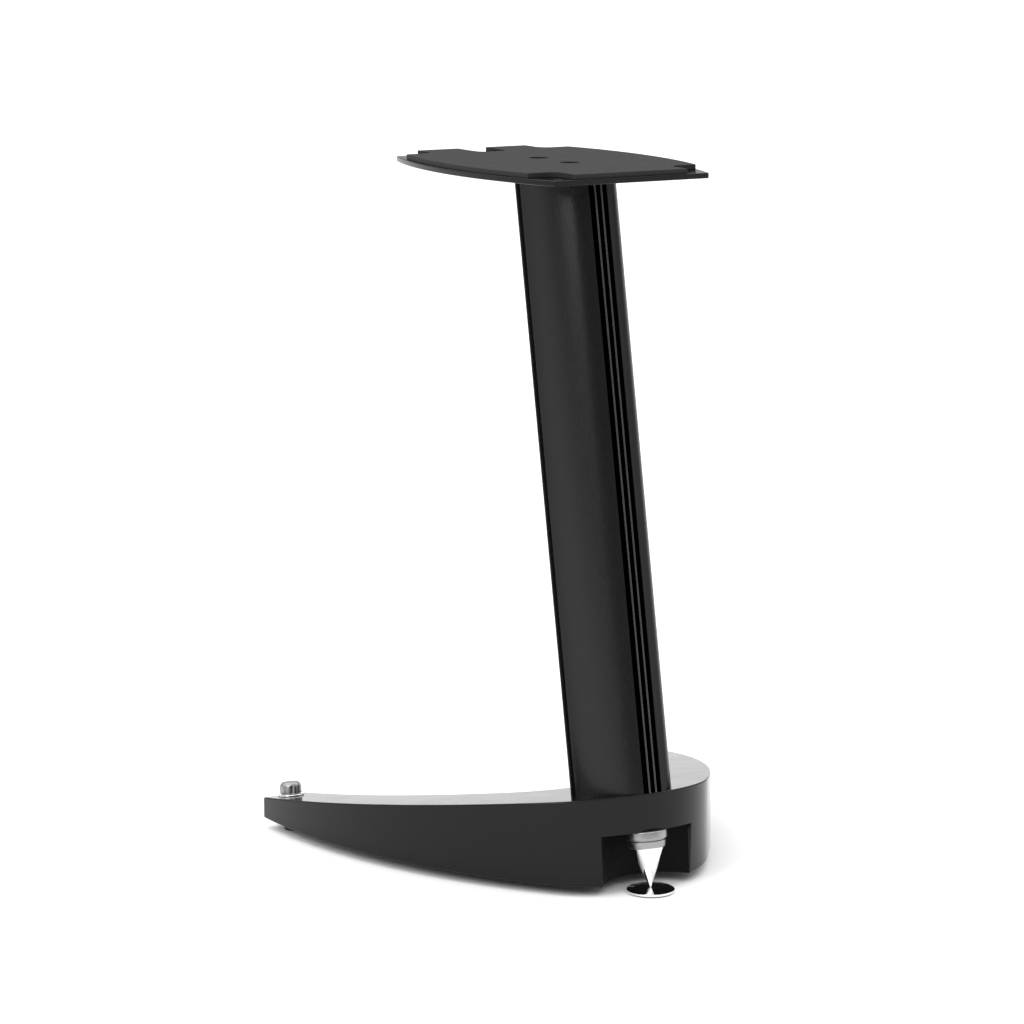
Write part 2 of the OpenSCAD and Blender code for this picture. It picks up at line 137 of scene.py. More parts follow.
# Feet
SHANK_R = 5 * MM
CONE_H = 36.5 * MM
CONE_R = 15.6 * MM
HEAD_R = 17.2 * MM
HEAD_H = 6.5 * MM
RING_R = 18.5 * MM
KNOB_R = 10.3 * MM
KNOB_H = 11.3 * MM
KNOB_CROWN_H = 5.2 * MM
KNOB_FLUTES = 10
KNOB_FLUTE_D = 1 * MM
FLANGE_R = 12.6 * MM
FLANGE_T = 1.6 * MM
DISC_R = 21.8 * MM
DISC_RIM_H = 2.9 * MM
DISC_H = 4.6 * MM
PAD_T = 1 * MM
INSERT_R = 8 * MM
FRONT_INSERT_L = 24 * MM
TIP_R = 0.5 * MM
TIP_FLAT = 0.2 * MM
REAR_CONE_H = 8 * MM
DIMPLE_R = 3 * MM
KNOB_CAP_T = 4 * MM
EDGE = 0.6 * MM

# Gaps and clearances
BORE_R = SHANK_R + 0.06 * MM
RING_GAP = 0.3 * MM
KNOB_GAP = 0.5 * MM
TIP_GAP = 0.3 * MM
TRIM_GAP = 0.05 * MM
SCREW_HEAD_GAP = 0.3 * MM

ROOT = "stand"


# ---------------------------------------------------------------- mesh helpers

def mesh_piece(name, verts, faces, material, body=ROOT):
    """A mesh object with one material, riding on a body."""
    mesh = bpy.data.meshes.new(name)
    mesh.from_pydata([tuple(v) for v in verts], [], faces)
    mesh.validate()
    obj = bpy.data.objects.new(name, mesh)
    bpy.context.scene.collection.objects.link(obj)
    mesh.materials.append(material)
    fix_normals(obj)
    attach(obj, body)
    return obj


def fix_normals(obj):
    """Turns every face of a closed mesh outwards."""
    bm = bmesh.new()
    bm.from_mesh(obj.data)
    bmesh.ops.recalc_face_normals(bm, faces=bm.faces)
    bm.to_mesh(obj.data)
    bm.free()


def apply_modifiers(obj):
    """Replaces an object's mesh by what its modifiers make of it."""
    graph = bpy.context.evaluated_depsgraph_get()
    made = bpy.data.meshes.new_from_object(obj.evaluated_get(graph))
    obj.modifiers.clear()
    obj.data = made


def smooth(obj, angle):
    """Smooth shading with sharp edges above an angle in degrees."""
    for polygon in obj.data.polygons:
        polygon.use_smooth = True
    obj.data.set_sharp_from_angle(angle=math.radians(angle))


def cut(obj, *cutters):
    """Subtracts closed meshes, then removes them."""
    for cutter in cutters:
        mod = obj.modifiers.new("cut", "BOOLEAN")
        mod.operation = "DIFFERENCE"
        mod.solver = "EXACT"
        mod.object = cutter
        bpy.context.view_layer.update()
        apply_modifiers(obj)
        bpy.data.objects.remove(cutter, do_unlink=True)


def round_edges(obj, radius, segments):
    """Bevels edges sharper than 30 degrees and keeps flat faces flat in shading."""
    mod = obj.modifiers.new("round", "BEVEL")
    mod.width = radius
    mod.segments = segments
    mod.limit_method = "ANGLE"
    mod.angle_limit = math.radians(30)
    mod.use_clamp_overlap = False
    mod.miter_outer = "MITER_ARC"
    apply_modifiers(obj)
    for polygon in obj.data.polygons:
        polygon.use_smooth = True
    weighted = obj.modifiers.new("weighted", "WEIGHTED_NORMAL")
    weighted.keep_sharp = True
    weighted.weight = 50
    apply_modifiers(obj)


def prism(name, outline, z_low, z_high, material, body=ROOT):
    """A closed prism over a plan outline; z_low and z_high are functions of (x, y)."""
    n = len(outline)
    verts = [(x, y, z_low(x, y)) for x, y in outline]
    verts += [(x, y, z_high(x, y)) for x, y in outline]
    faces = [tuple(range(n))[::-1], tuple(range(n, 2 * n))]
    faces += [(i, (i + 1) % n, n + (i + 1) % n, n + i) for i in range(n)]
    return mesh_piece(name, verts, faces, material, body)


def flat(z):
    """A level height, as a function of (x, y)."""
    return lambda x, y: z


def lathe_mesh(profile, matrix, segments=96):
    """Vertices and faces of a profile of (radius, height) turned about Z."""
    verts = []
    rings = []
    on_axis = 1e-7
    for r, z in profile:
        if r < on_axis:
            rings.append([len(verts)] * segments)
            verts.append(matrix @ Vector((0, 0, z)))
            continue
        rings.append(list(range(len(verts), len(verts) + segments)))
        for k in range(segments):
            a = 2 * math.pi * k / segments
            verts.append(matrix @ Vector((r * math.cos(a), r * math.sin(a), z)))
    faces = []
    for low_ring, high_ring in zip(rings, rings[1:]):
        for k in range(segments):
            j = (k + 1) % segments
            face = (low_ring[k], low_ring[j], high_ring[j], high_ring[k])
            face = tuple(dict.fromkeys(face))
            if len(face) > 2:
                faces.append(face)
    return verts, faces


def lathe(name, profile, matrix, material, body=ROOT, segments=96):
    """A turned piece. A profile that ends on the axis is closed there; others close on themselves."""
    verts, faces = lathe_mesh(profile, matrix, segments)
    piece = mesh_piece(name, verts, faces, material, body)
    smooth(piece, 30)
    return piece


def cylinder_cutter(matrix, r, z0, z1, segments=64):
    """A plain closed cylinder for cutting with, not a visible piece."""
    verts, faces = lathe_mesh([(0, z0), (r, z0), (r, z1), (0, z1)], matrix, segments)
    mesh = bpy.data.meshes.new("cutter")
    mesh.from_pydata([tuple(v) for v in verts], [], faces)
    obj = bpy.data.objects.new("cutter", mesh)
    bpy.context.scene.collection.objects.link(obj)
    fix_normals(obj)
    return obj


def rounded_profile(points, radius, steps=4):
    """Rounds the corners between the two ends of a profile."""
    largest_share = 0.45
    out = [Vector(points[0])]
    for before, corner, after in zip(points, points[1:], points[2:]):
        before, corner, after = Vector(before), Vector(corner), Vector(after)
        to_before = before - corner
        to_after = after - corner
        reach = min(radius, to_before.length * largest_share, to_after.length * largest_share)
        a = corner + to_before.normalized() * reach
        b = corner + to_after.normalized() * reach
        for i in range(steps + 1):
            t = i / steps
            out.append(a.lerp(corner, t).lerp(corner.lerp(b, t), t))
    out.append(Vector(points[-1]))
    return [tuple(p) for p in out]


def arc(cx, cy, r, start, end, steps):
    """Points along a circle, angles in radians from +X."""
    points = []
    for i in range(steps + 1):
        a = start + (end - start) * i / steps
        points.append((cx + r * math.cos(a), cy + r * math.sin(a)))
    return points


# ---------------------------------------------------------------- materials

# Sockets of a Mix node that mixes colours
FACTOR = 0
FIRST = 6
SECOND = 7
MIXED = 2


def new_material(name):
    """An empty node material with its shader; returns material, nodes, links and shader."""
    mat = bpy.data.materials.new(name)
    mat.use_nodes = True
    nodes, links = mat.node_tree.nodes, mat.node_tree.links
    return mat, nodes, links, nodes["Principled BSDF"]


def coordinates(nodes, links, scale=(1, 1, 1), rotation=(0, 0, 0)):
    """Object coordinates, stretched, for solid textures."""
    coord = nodes.new("ShaderNodeTexCoord")
    mapping = nodes.new("ShaderNodeMapping")
    mapping.inputs["Scale"].default_value = scale
    mapping.inputs["Rotation"].default_value = rotation
    links.new(coord.outputs["Object"], mapping.inputs["Vector"])
    return mapping.outputs["Vector"]


def noise(nodes, links, vector, scale, detail=4.0, roughness=0.55):
    """A noise texture's value."""
    tex = nodes.new("ShaderNodeTexNoise")
    tex.inputs["Scale"].default_value = scale
    tex.inputs["Detail"].default_value = detail
    tex.inputs["Roughness"].default_value = roughness
    links.new(vector, tex.inputs["Vector"])
    return tex.outputs["Fac"]


def spread(nodes, links, value, low_value, high_value, from_low=0.3, from_high=0.7):
    """Maps a texture's value to a range."""
    ramp = nodes.new("ShaderNodeMapRange")
    ramp.inputs["From Min"].default_value = from_low
    ramp.inputs["From Max"].default_value = from_high
    ramp.inputs["To Min"].default_value = low_value
    ramp.inputs["To Max"].default_value = high_value
    links.new(value, ramp.inputs["Value"])
    return ramp.outputs["Result"]


def colour_between(nodes, links, factor, dark, light):
    """Mixes two colours by a factor."""
    mix = nodes.new("ShaderNodeMix")
    mix.data_type = "RGBA"
    mix.inputs[FIRST].default_value = (*dark, 1)
    mix.inputs[SECOND].default_value = (*light, 1)
    links.new(factor, mix.inputs[FACTOR])
    return mix.outputs[MIXED]


def bump(nodes, links, shader, height, distance):
    """Feeds a height into the shader's normal."""
    node = nodes.new("ShaderNodeBump")
    node.inputs["Distance"].default_value = distance
    node.inputs["Strength"].default_value = 1.0
    links.new(height, node.inputs["Height"])
    links.new(node.outputs["Normal"], shader.inputs["Normal"])


def lacquer(name, dark, light, rough, ior, peel):
    """Black lacquer or paint: faint colour drift, orange peel and a haze of polish marks."""
    mat, nodes, links, shader = new_material(name)
    vector = coordinates(nodes, links)
    drift = noise(nodes, links, vector, 9)
    colour = colour_between(nodes, links, drift, dark, light)
    links.new(colour, shader.inputs["Base Color"])
    haze = noise(nodes, links, vector, 30, 6, 0.65)
    links.new(spread(nodes, links, haze, rough[0], rough[1]), shader.inputs["Roughness"])
    shader.inputs["IOR"].default_value = ior
    skin = noise(nodes, links, vector, 160, 3)
    bump(nodes, links, shader, skin, peel)
    return mat


def extruded(name, dark, light, rough, edge_tint):
    """Satin black column part: fine grain and faint lines; edge_tint is its grazing reflection."""
    mat, nodes, links, shader = new_material(name)
    shader.inputs["Metallic"].default_value = 1.0
    shader.inputs["Specular Tint"].default_value = (edge_tint, edge_tint, edge_tint, 1)
    grain_vector = coordinates(nodes, links)
    line_vector = coordinates(nodes, links, (1, 1, 0.02), (LEAN, 0, 0))
    lines = noise(nodes, links, line_vector, 900, 3)
    grain = noise(nodes, links, grain_vector, 1400, 2)
    links.new(colour_between(nodes, links, lines, dark, light), shader.inputs["Base Color"])
    links.new(spread(nodes, links, lines, rough[0], rough[1]), shader.inputs["Roughness"])
    add = nodes.new("ShaderNodeMath")
    add.operation = "ADD"
    links.new(grain, add.inputs[0])
    links.new(lines, add.inputs[1])
    bump(nodes, links, shader, add.outputs[0], 0.00001)
    return mat


def paint_shade_below(mat, origin, outward, shallow, deep):
    """Paints shade into a material: fades its colour to black between two heights over an origin, such
    as deep in a groove.
    """
    nodes, links = mat.node_tree.nodes, mat.node_tree.links
    shader = nodes["Principled BSDF"]
    coord = nodes.new("ShaderNodeTexCoord")
    offset = nodes.new("ShaderNodeVectorMath")
    offset.operation = "SUBTRACT"
    offset.inputs[1].default_value = origin
    links.new(coord.outputs["Object"], offset.inputs[0])
    along = nodes.new("ShaderNodeVectorMath")
    along.operation = "DOT_PRODUCT"
    along.inputs[1].default_value = outward
    links.new(offset.outputs["Vector"], along.inputs[0])
    # Painted shade: the colour goes to near black with depth below the shallow height, standing in for
    # the shade inside a recess
    groove_shade = spread(nodes, links, along.outputs["Value"], 0, 1, deep, shallow)
    mix = nodes.new("ShaderNodeMix")
    mix.data_type = "RGBA"
    mix.inputs[FIRST].default_value = (0.0004, 0.0004, 0.0004, 1)
    colour = shader.inputs["Base Color"].links[0].from_socket
    links.new(colour, mix.inputs[SECOND])
    links.new(groove_shade, mix.inputs[FACTOR])
    links.new(mix.outputs[MIXED], shader.inputs["Base Color"])


def grained_plastic(name, dark, light, rough):
    """Moulded plastic or rough paint with a fine leathery grain."""
    mat, nodes, links, shader = new_material(name)
    vector = coordinates(nodes, links)
    cells = nodes.new("ShaderNodeTexVoronoi")
    cells.inputs["Scale"].default_value = 900
    links.new(vector, cells.inputs["Vector"])
    drift = noise(nodes, links, vector, 14)
    links.new(colour_between(nodes, links, drift, dark, light), shader.inputs["Base Color"])
    links.new(spread(nodes, links, drift, rough[0], rough[1]), shader.inputs["Roughness"])
    bump(nodes, links, shader, cells.outputs["Distance"], 0.00006)
    return mat


def foam_rubber(name, dark, light):
    """Closed-cell foam: pores, soft blotches and a dull face."""
    mat, nodes, links, shader = new_material(name)
    vector = coordinates(nodes, links)
    pores = nodes.new("ShaderNodeTexVoronoi")
    pores.inputs["Scale"].default_value = 1300
    links.new(vector, pores.inputs["Vector"])
    blotch = noise(nodes, links, vector, 45, 5, 0.6)
    speck = noise(nodes, links, vector, 700, 2)
    mixed = nodes.new("ShaderNodeMath")
    mixed.operation = "MULTIPLY_ADD"
    links.new(speck, mixed.inputs[0])
    mixed.inputs[1].default_value = 0.45
    links.new(blotch, mixed.inputs[2])
    factor = spread(nodes, links, mixed.outputs[0], 0, 1, 0.45, 1.0)
    links.new(colour_between(nodes, links, factor, dark, light), shader.inputs["Base Color"])
    links.new(spread(nodes, links, blotch, 0.75, 0.9), shader.inputs["Roughness"])
    shader.inputs["IOR"].default_value = 1.4
    bump(nodes, links, shader, pores.outputs["Distance"], 0.00012)
    return mat


def polished_metal(name, tint, rough):
    """Chrome: mirror finish with faint wipe marks."""
    mat, nodes, links, shader = new_material(name)
    vector = coordinates(nodes, links)
    wipe = noise(nodes, links, vector, 60, 5, 0.6)
    light = tuple(min(1.0, c * 1.05) for c in tint)
    links.new(colour_between(nodes, links, wipe, tint, light), shader.inputs["Base Color"])
    links.new(spread(nodes, links, wipe, rough[0], rough[1]), shader.inputs["Roughness"])
    shader.inputs["Metallic"].default_value = 1.0
    fine = noise(nodes, links, vector, 500, 2)
    bump(nodes, links, shader, fine, 0.000004)
    return mat


def turned_metal(name, tint, rough, axis, line_scale=5000):
    """Turned metal: fine rings around the piece's own axis."""
    mat, nodes, links, shader = new_material(name)
    tilt = math.atan2(axis.y, axis.z)
    vector = coordinates(nodes, links, (1, 1, 1), (tilt, 0, 0))
    rings = nodes.new("ShaderNodeTexWave")
    rings.bands_direction = "Z"
    rings.inputs["Scale"].default_value = line_scale
    rings.inputs["Distortion"].default_value = 2.0
    rings.inputs["Detail"].default_value = 2.0
    links.new(vector, rings.inputs["Vector"])
    tone = noise(nodes, links, vector, 150, 4)
    light = tuple(min(1.0, c * 1.2) for c in tint)
    links.new(colour_between(nodes, links, tone, tint, light), shader.inputs["Base Color"])
    links.new(spread(nodes, links, tone, rough[0], rough[1]), shader.inputs["Roughness"])
    shader.inputs["Metallic"].default_value = 1.0
    bump(nodes, links, shader, rings.outputs["Fac"], 0.000006)
    return mat


def felt(name, dark, light):
    """Pressed felt: matted fibres."""
    mat, nodes, links, shader = new_material(name)
    vector = coordinates(nodes, links)
    fibres = noise(nodes, links, vector, 2200, 5, 0.7)
    links.new(colour_between(nodes, links, fibres, dark, light), shader.inputs["Base Color"])
    shader.inputs["Roughness"].default_value = 0.95
    shader.inputs["Sheen Weight"].default_value = 0.4
    bump(nodes, links, shader, fibres, 0.0003)
    return mat


BASE_LACQUER = lacquer("base_lacquer", (0.003, 0.003, 0.0033), (0.0045, 0.0045, 0.0048), (0.1, 0.14),
                       ior=1.3, peel=0.000003)
POCKET_BLACK = grained_plastic("pocket_black", (0.003, 0.003, 0.003), (0.005, 0.005, 0.005),
                               (0.5, 0.6))
POCKET_BLACK.node_tree.nodes["Principled BSDF"].inputs["IOR"].default_value = 1.2
COLUMN_BLACK = extruded("column_black", (0.027, 0.027, 0.028), (0.032, 0.032, 0.033), (0.24, 0.28),
                        edge_tint=0.48)
TRIM_BLACK = extruded("trim_black", (0.085, 0.085, 0.087), (0.1, 0.1, 0.102), (0.24, 0.3),
                      edge_tint=0.4)
PANEL_BLACK = extruded("panel_black", (0.02, 0.02, 0.02), (0.026, 0.026, 0.026), (0.36, 0.42),
                       edge_tint=0.2)
PLATE_BLACK = lacquer("plate_black", (0.002, 0.002, 0.0022), (0.003, 0.003, 0.0032), (0.08, 0.14),
                      ior=1.28, peel=0.000005)
MAT_RUBBER = foam_rubber("mat_rubber", (0.009, 0.009, 0.0095), (0.021, 0.021, 0.022))
SPIKE_CHROME = polished_metal("spike_chrome", (0.9, 0.9, 0.91), (0.03, 0.07))
DISC_CHROME = polished_metal("disc_chrome", (0.78, 0.78, 0.8), (0.02, 0.05))
KNOB_STEEL = turned_metal("knob_steel", (0.27, 0.27, 0.273), (0.26, 0.36), SPIKE_AXIS)
FLANGE_STEEL = turned_metal("flange_steel", (0.7, 0.7, 0.71), (0.08, 0.14), SPIKE_AXIS)
RING_STEEL = turned_metal("ring_steel", (0.3, 0.3, 0.305), (0.3, 0.4), SPIKE_AXIS)
INSERT_BRASS = turned_metal("insert_brass", (0.6, 0.45, 0.2), (0.25, 0.4), SPIKE_AXIS)
OXIDE_STEEL = turned_metal("oxide_steel", (0.05, 0.05, 0.052), (0.35, 0.5), SPIKE_AXIS)
BLOCK_ALUMINIUM = turned_metal("block_aluminium", (0.55, 0.55, 0.56), (0.4, 0.55), SPIKE_AXIS,
                               line_scale=900)
GLIDE_BLACK = grained_plastic("glide_black", (0.006, 0.006, 0.006), (0.01, 0.01, 0.01), (0.45, 0.6))
PAD_FELT = felt("pad_felt", (0.012, 0.012, 0.012), (0.03, 0.03, 0.03))


# ---------------------------------------------------------------- base

def nosed_curve(apex_y, nose_r, angle, side_r, end_y):
    """Outline of a round nose with bowed sides, from its left end round to its right end."""
    nose_steps = 120
    side_steps = 90
    nose_c = apex_y + nose_r
    side_x = (side_r - nose_r) * math.sin(angle)
    side_y = nose_c + (side_r - nose_r) * math.cos(angle)
    end_angle = math.asin((end_y - side_y) / side_r)
    start_angle = angle - math.pi / 2
    right = arc(-side_x, side_y, side_r, start_angle, end_angle, side_steps)
    left = [(-x, y) for x, y in reversed(right)]
    nose = arc(0, nose_c, nose_r, -math.pi / 2 - angle, start_angle, nose_steps)
    return left + nose[1:-1] + right


def base_top_z(x, y):
    """Height of the base's sloping top."""
    return TOP_Z0 - (y - FRONT_TIP.y) * math.tan(SLOPE)


def spike_matrix(tip):
    """Frame at a spike's point with Z up its axis."""
    return Matrix.Translation(tip) @ Matrix.Rotation(-SLOPE, 4, "X")


REAR_TIPS = {side: Vector(JOINTS[f"rear_{side}_turn"]["pos_m"]) for side in ("left", "right")}
FRONT = spike_matrix(FRONT_TIP)
TOP_S = (TOP_Z0 - FRONT_TIP.z) * math.cos(SLOPE)
ROOF_S = TOP_S - POCKET_ROOF


COLUMN_AXIS = Vector((0, math.sin(LEAN), math.cos(LEAN)))
COLUMN_FOOT = Vector((0, COLUMN_FOOT_Y, base_top_z(0, COLUMN_FOOT_Y)))
COLUMN_ACROSS = Vector((0, math.cos(LEAN), -math.sin(LEAN)))
COLUMN_PLACE = Matrix.Translation(COLUMN_FOOT) @ Matrix.Rotation(-LEAN, 4, "X")

# Painted shade: the trim strip's colour fades to black deep in its grooves, standing in for the shade
# there
paint_shade_below(TRIM_BLACK, COLUMN_FOOT - COLUMN_ACROSS * COLUMN_HALF_D, -COLUMN_ACROSS,
             shallow=-1.2 * MM, deep=-2.4 * MM)


def rear_top_s(tip):
    """Distance up a rear spike from its point to the arm's top."""
    height = TOP_Z0 - tip.z - (tip.y - FRONT_TIP.y) * math.tan(SLOPE)
    return height * math.cos(SLOPE)


def in_pocket(point):
    """True for a face's middle on the wall or the roof of the front pocket."""
    margin = 0.2 * MM
    above_underside = 1 * MM
    upright = Matrix.Rotation(POCKET_TILT, 3, "X") @ (point - FRONT_TIP)
    from_pocket = math.hypot(upright.x, upright.y + POCKET_FORWARD)
    from_nose = math.hypot(point.x, point.y - NOSE_Y - NOSE_R)
    behind_wall = from_nose < NOSE_R - BASE_EDGE_R
    return from_pocket < POCKET_R + margin and point.z > FLOOR_GAP + above_underside and behind_wall


def pocket_cutter():
    """The pocket's shape: a leaning cylinder cut off square to the front spike."""
    lid_r = 0.3
    lid_h = 0.2
    lean = Matrix.Translation(FRONT_TIP) @ Matrix.Rotation(-POCKET_TILT, 4, "X")
    lean = lean @ Matrix.Translation((0, -POCKET_FORWARD, 0))
    pocket = cylinder_cutter(lean, POCKET_R, -50 * MM, 90 * MM, 256)
    lid = cylinder_cutter(FRONT, lid_r, ROOF_S, ROOF_S + lid_h)
    cut(pocket, lid)
    return pocket


def wall_normal(point):
    """Outward direction of the base's outer wall at a point."""
    nose_c = Vector((0, NOSE_Y + NOSE_R))
    reach = SIDE_R - NOSE_R
    centre = nose_c
    if point.y > nose_c.y - NOSE_R * math.cos(NOSE_ANGLE):
        centre = Vector((math.copysign(reach * math.sin(NOSE_ANGLE), -point.x),
                         nose_c.y + reach * math.cos(NOSE_ANGLE)))
    out = Vector((point.x, point.y)) - centre
    return Vector((out.x, out.y, 0)).normalized()


def settle_normals(obj):
    """Gives the base's top and its outer wall exact normals, so that neither shades unevenly."""
    along_top = 0.9999
    along_wall = 0.99
    upright = 0.02
    same_side = 0.3
    mesh = obj.data
    exact = {}
    for polygon in mesh.polygons:
        wall_fit = polygon.normal.dot(wall_normal(polygon.center))
        if polygon.normal.dot(SPIKE_AXIS) > along_top:
            exact.update({v: SPIKE_AXIS for v in polygon.vertices})
        elif abs(polygon.normal.z) < upright and wall_fit > along_wall:
            exact.update({v: wall_normal(mesh.vertices[v].co) for v in polygon.vertices})
    normals = [Vector(corner.vector) for corner in mesh.corner_normals]
    for polygon in mesh.polygons:
        for loop, vertex in zip(polygon.loop_indices, polygon.vertices):
            if vertex in exact and polygon.normal.dot(exact[vertex]) > same_side:
                normals[loop] = exact[vertex]
    mesh.normals_split_custom_set(normals)


def make_base():
    """Crescent wedge with its pocket, its insert bores and softened edges."""
    outer = nosed_curve(NOSE_Y, NOSE_R, NOSE_ANGLE, SIDE_R, ARM_END_Y)
    inner = nosed_curve(NOSE_Y + BRIDGE_DEPTH, INNER_NOSE_R, INNER_ANGLE, INNER_SIDE_R, ARM_END_Y)
    outline = outer + inner[::-1]
    base = prism("base_body", outline, flat(FLOOR_GAP), base_top_z, BASE_LACQUER)
    cutters = [pocket_cutter()]
    cutters.append(cylinder_cutter(FRONT, INSERT_R, ROOF_S - 2 * MM, ROOF_S + FRONT_INSERT_L))
    for tip in REAR_TIPS.values():
        cutters.append(cylinder_cutter(spike_matrix(tip), INSERT_R, -10 * MM, 60 * MM))
    for y in BOLT_YS:
        well = COLUMN_PLACE @ Matrix.Translation((0, y, 0))
        cutters.append(cylinder_cutter(well, WELL_R, -200 * MM, -BOLT_SEAT_H))
        cutters.append(cylinder_cutter(well, BOLT_HOLE_R, -200 * MM, 20 * MM))
    round_edges(base, BASE_EDGE_R, 4)
    cut(base, *cutters)
    smooth(base, 40)
    base.data.materials.append(POCKET_BLACK)
    for polygon in base.data.polygons:
        if in_pocket(polygon.center):
            polygon.material_index = 1
    settle_normals(base)
    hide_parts("base")


# ---------------------------------------------------------------- column

def oval_arcs(inward):
    """Centres, radii and meeting angle of the four arcs of the column's oval."""
    half_w = COLUMN_HALF_W - inward
    half_d = COLUMN_HALF_D - inward
    nose_r = COLUMN_NOSE_R - inward
    centre = (((half_d - nose_r) ** 2 - (half_w - nose_r) ** 2)
              / (2 * (half_w - nose_r)))
    side_r = half_w + centre
    meet = math.atan2(half_d - nose_r, centre)
    return nose_r, side_r, centre, half_d - nose_r, meet


def oval_x(y, inward=0.0):
    """Half width of the oval at a distance y from its middle."""
    nose_r, side_r, centre, nose_y, meet = oval_arcs(inward)
    if abs(y) <= side_r * math.sin(meet):
        return math.sqrt(side_r ** 2 - y * y) - centre
    return math.sqrt(max(0.0, nose_r ** 2 - (abs(y) - nose_y) ** 2))


def oval_y(x, inward=0.0):
    """Front edge of the oval at a distance x from its middle, near the nose."""
    nose_r, _, _, nose_y, _ = oval_arcs(inward)
    return -(nose_y + math.sqrt(nose_r ** 2 - x * x))


def oval_right(from_y, to_y, inward=0.0, steps=40):
    """Points along the oval's right side between two values of y, closest together at both."""
    points = []
    for i in range(steps + 1):
        t = i / steps
        y = from_y + (to_y - from_y) * 0.5 * (1 - math.cos(math.pi * t))
        points.append((oval_x(y, inward), y))
    return points


def column_point(x, y, foot):
    """Where a line of the section meets the base's top or the plate's underside."""
    start = COLUMN_FOOT + Vector((x, 0, 0)) + COLUMN_ACROSS * y
    if foot:
        gap = base_top_z(0, start.y) - start.z
        rate = COLUMN_AXIS.z + COLUMN_AXIS.y * math.tan(SLOPE)
        return start + COLUMN_AXIS * (gap / rate)
    return start + COLUMN_AXIS * ((PLATE_BOTTOM_Z - start.z) / COLUMN_AXIS.z)


def column_piece(name, section, material, node):
    """A closed section run from the base's top to the plate."""
    n = len(section)
    verts = [column_point(x, y, True) for x, y in section]
    verts += [column_point(x, y, False) for x, y in section]
    faces = [tuple(range(n))[::-1], tuple(range(n, 2 * n))]
    faces += [(i, (i + 1) % n, n + (i + 1) % n, n + i) for i in range(n)]
    piece = mesh_piece(name, verts, faces, material)
    smooth(piece, 40)
    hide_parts(node)


def make_shell():
    """Front and sides of the column, lips rounded at the trim channel and at the joint line."""
    half_channel = TRIM_W / 2
    lip_y = oval_y(half_channel)
    floor_y = -COLUMN_HALF_D + TRIM_DEPTH
    outer = oval_right(lip_y, SEAM_Y)
    inner_ys = (SEAM_Y, 0, -12 * MM, -24 * MM, -36 * MM, -44 * MM)
    inner = [(oval_x(y, COLUMN_WALL), y) for y in inner_ys]
    inner.append((half_channel + COLUMN_WALL, floor_y + COLUMN_WALL))
    lip = rounded_profile([(half_channel, floor_y), outer[0], outer[2]], 0.8 * MM, 6)
    back = rounded_profile([outer[-3], outer[-1], inner[0]], 0.7 * MM, 5)
    right = [(0, floor_y)] + lip[:-1] + outer[2:-3] + back[:-1] + inner + [(0, floor_y + COLUMN_WALL)]
    left = [(-x, y) for x, y in right[1:-1]][::-1]
    column_piece("shell", right + left, COLUMN_BLACK, "column_shell")


def make_trim():
    """Strip with two round-topped ribs between three grooves."""
    half_w = TRIM_W / 2 - TRIM_GAP
    top_y = -COLUMN_HALF_D + TRIM_DEPTH - TRIM_FLOOR
    bottom_y = -COLUMN_HALF_D + TRIM_DEPTH
    rib_x = TRIM_RIB_PITCH / 2
    rib_half = TRIM_RIB_W / 2
    rib_y = oval_y(rib_x, TRIM_RIB_INSET)
    corners = [(0, top_y), (rib_x - rib_half, top_y), (rib_x - rib_half, rib_y),
               (rib_x + rib_half, rib_y), (rib_x + rib_half, top_y), (half_w, top_y)]
    right = rounded_profile(corners, 0.8 * MM, 5) + [(half_w, bottom_y)]
    left = [(-x, y) for x, y in right[1:]][::-1]
    column_piece("trim", right + left, TRIM_BLACK, "column_front_trim")


def make_panel():
    """Back of the column behind the joint line."""
    start_y = SEAM_Y + SEAM_GAP
    outer = oval_right(start_y, COLUMN_HALF_D - PANEL_INSET, PANEL_INSET, 48)
    inner = oval_right(start_y, COLUMN_HALF_D - COLUMN_WALL, COLUMN_WALL, 24)
    edge = rounded_profile([inner[0], outer[0], outer[3]], 0.6 * MM, 4)
    right = edge[:-1] + outer[3:]
    left = [(-x, y) for x, y in right[:-1]][::-1]
    inside_left = [(-x, y) for x, y in inner[1:]]
    inside_right = inner[1:-1][::-1]
    section = right + left + inside_left + inside_right
    column_piece("panel", section, PANEL_BLACK, "column_back_panel")


# ---------------------------------------------------------------- plate and mat

def plate_outline():
    """Plan of the plate about its own middle: straight ends, bowed sides, round corners."""
    side_c = PLATE_SIDE_R - PLATE_HALF_W
    corner_y = PLATE_HALF_D - PLATE_CORNER_R
    corner_x = math.sqrt((PLATE_SIDE_R - PLATE_CORNER_R) ** 2 - corner_y ** 2) - side_c
    side_angle = math.asin(corner_y / (PLATE_SIDE_R - PLATE_CORNER_R))
    side = arc(-side_c, 0, PLATE_SIDE_R, -side_angle, side_angle, 48)
    back_corner = arc(corner_x, corner_y, PLATE_CORNER_R, side_angle, math.pi / 2, 8)
    front_corner = [(x, -y) for x, y in back_corner[1:]][::-1]
    right = front_corner + side + back_corner[1:]
    left = [(-x, y) for x, y in right][::-1]
    return right + left


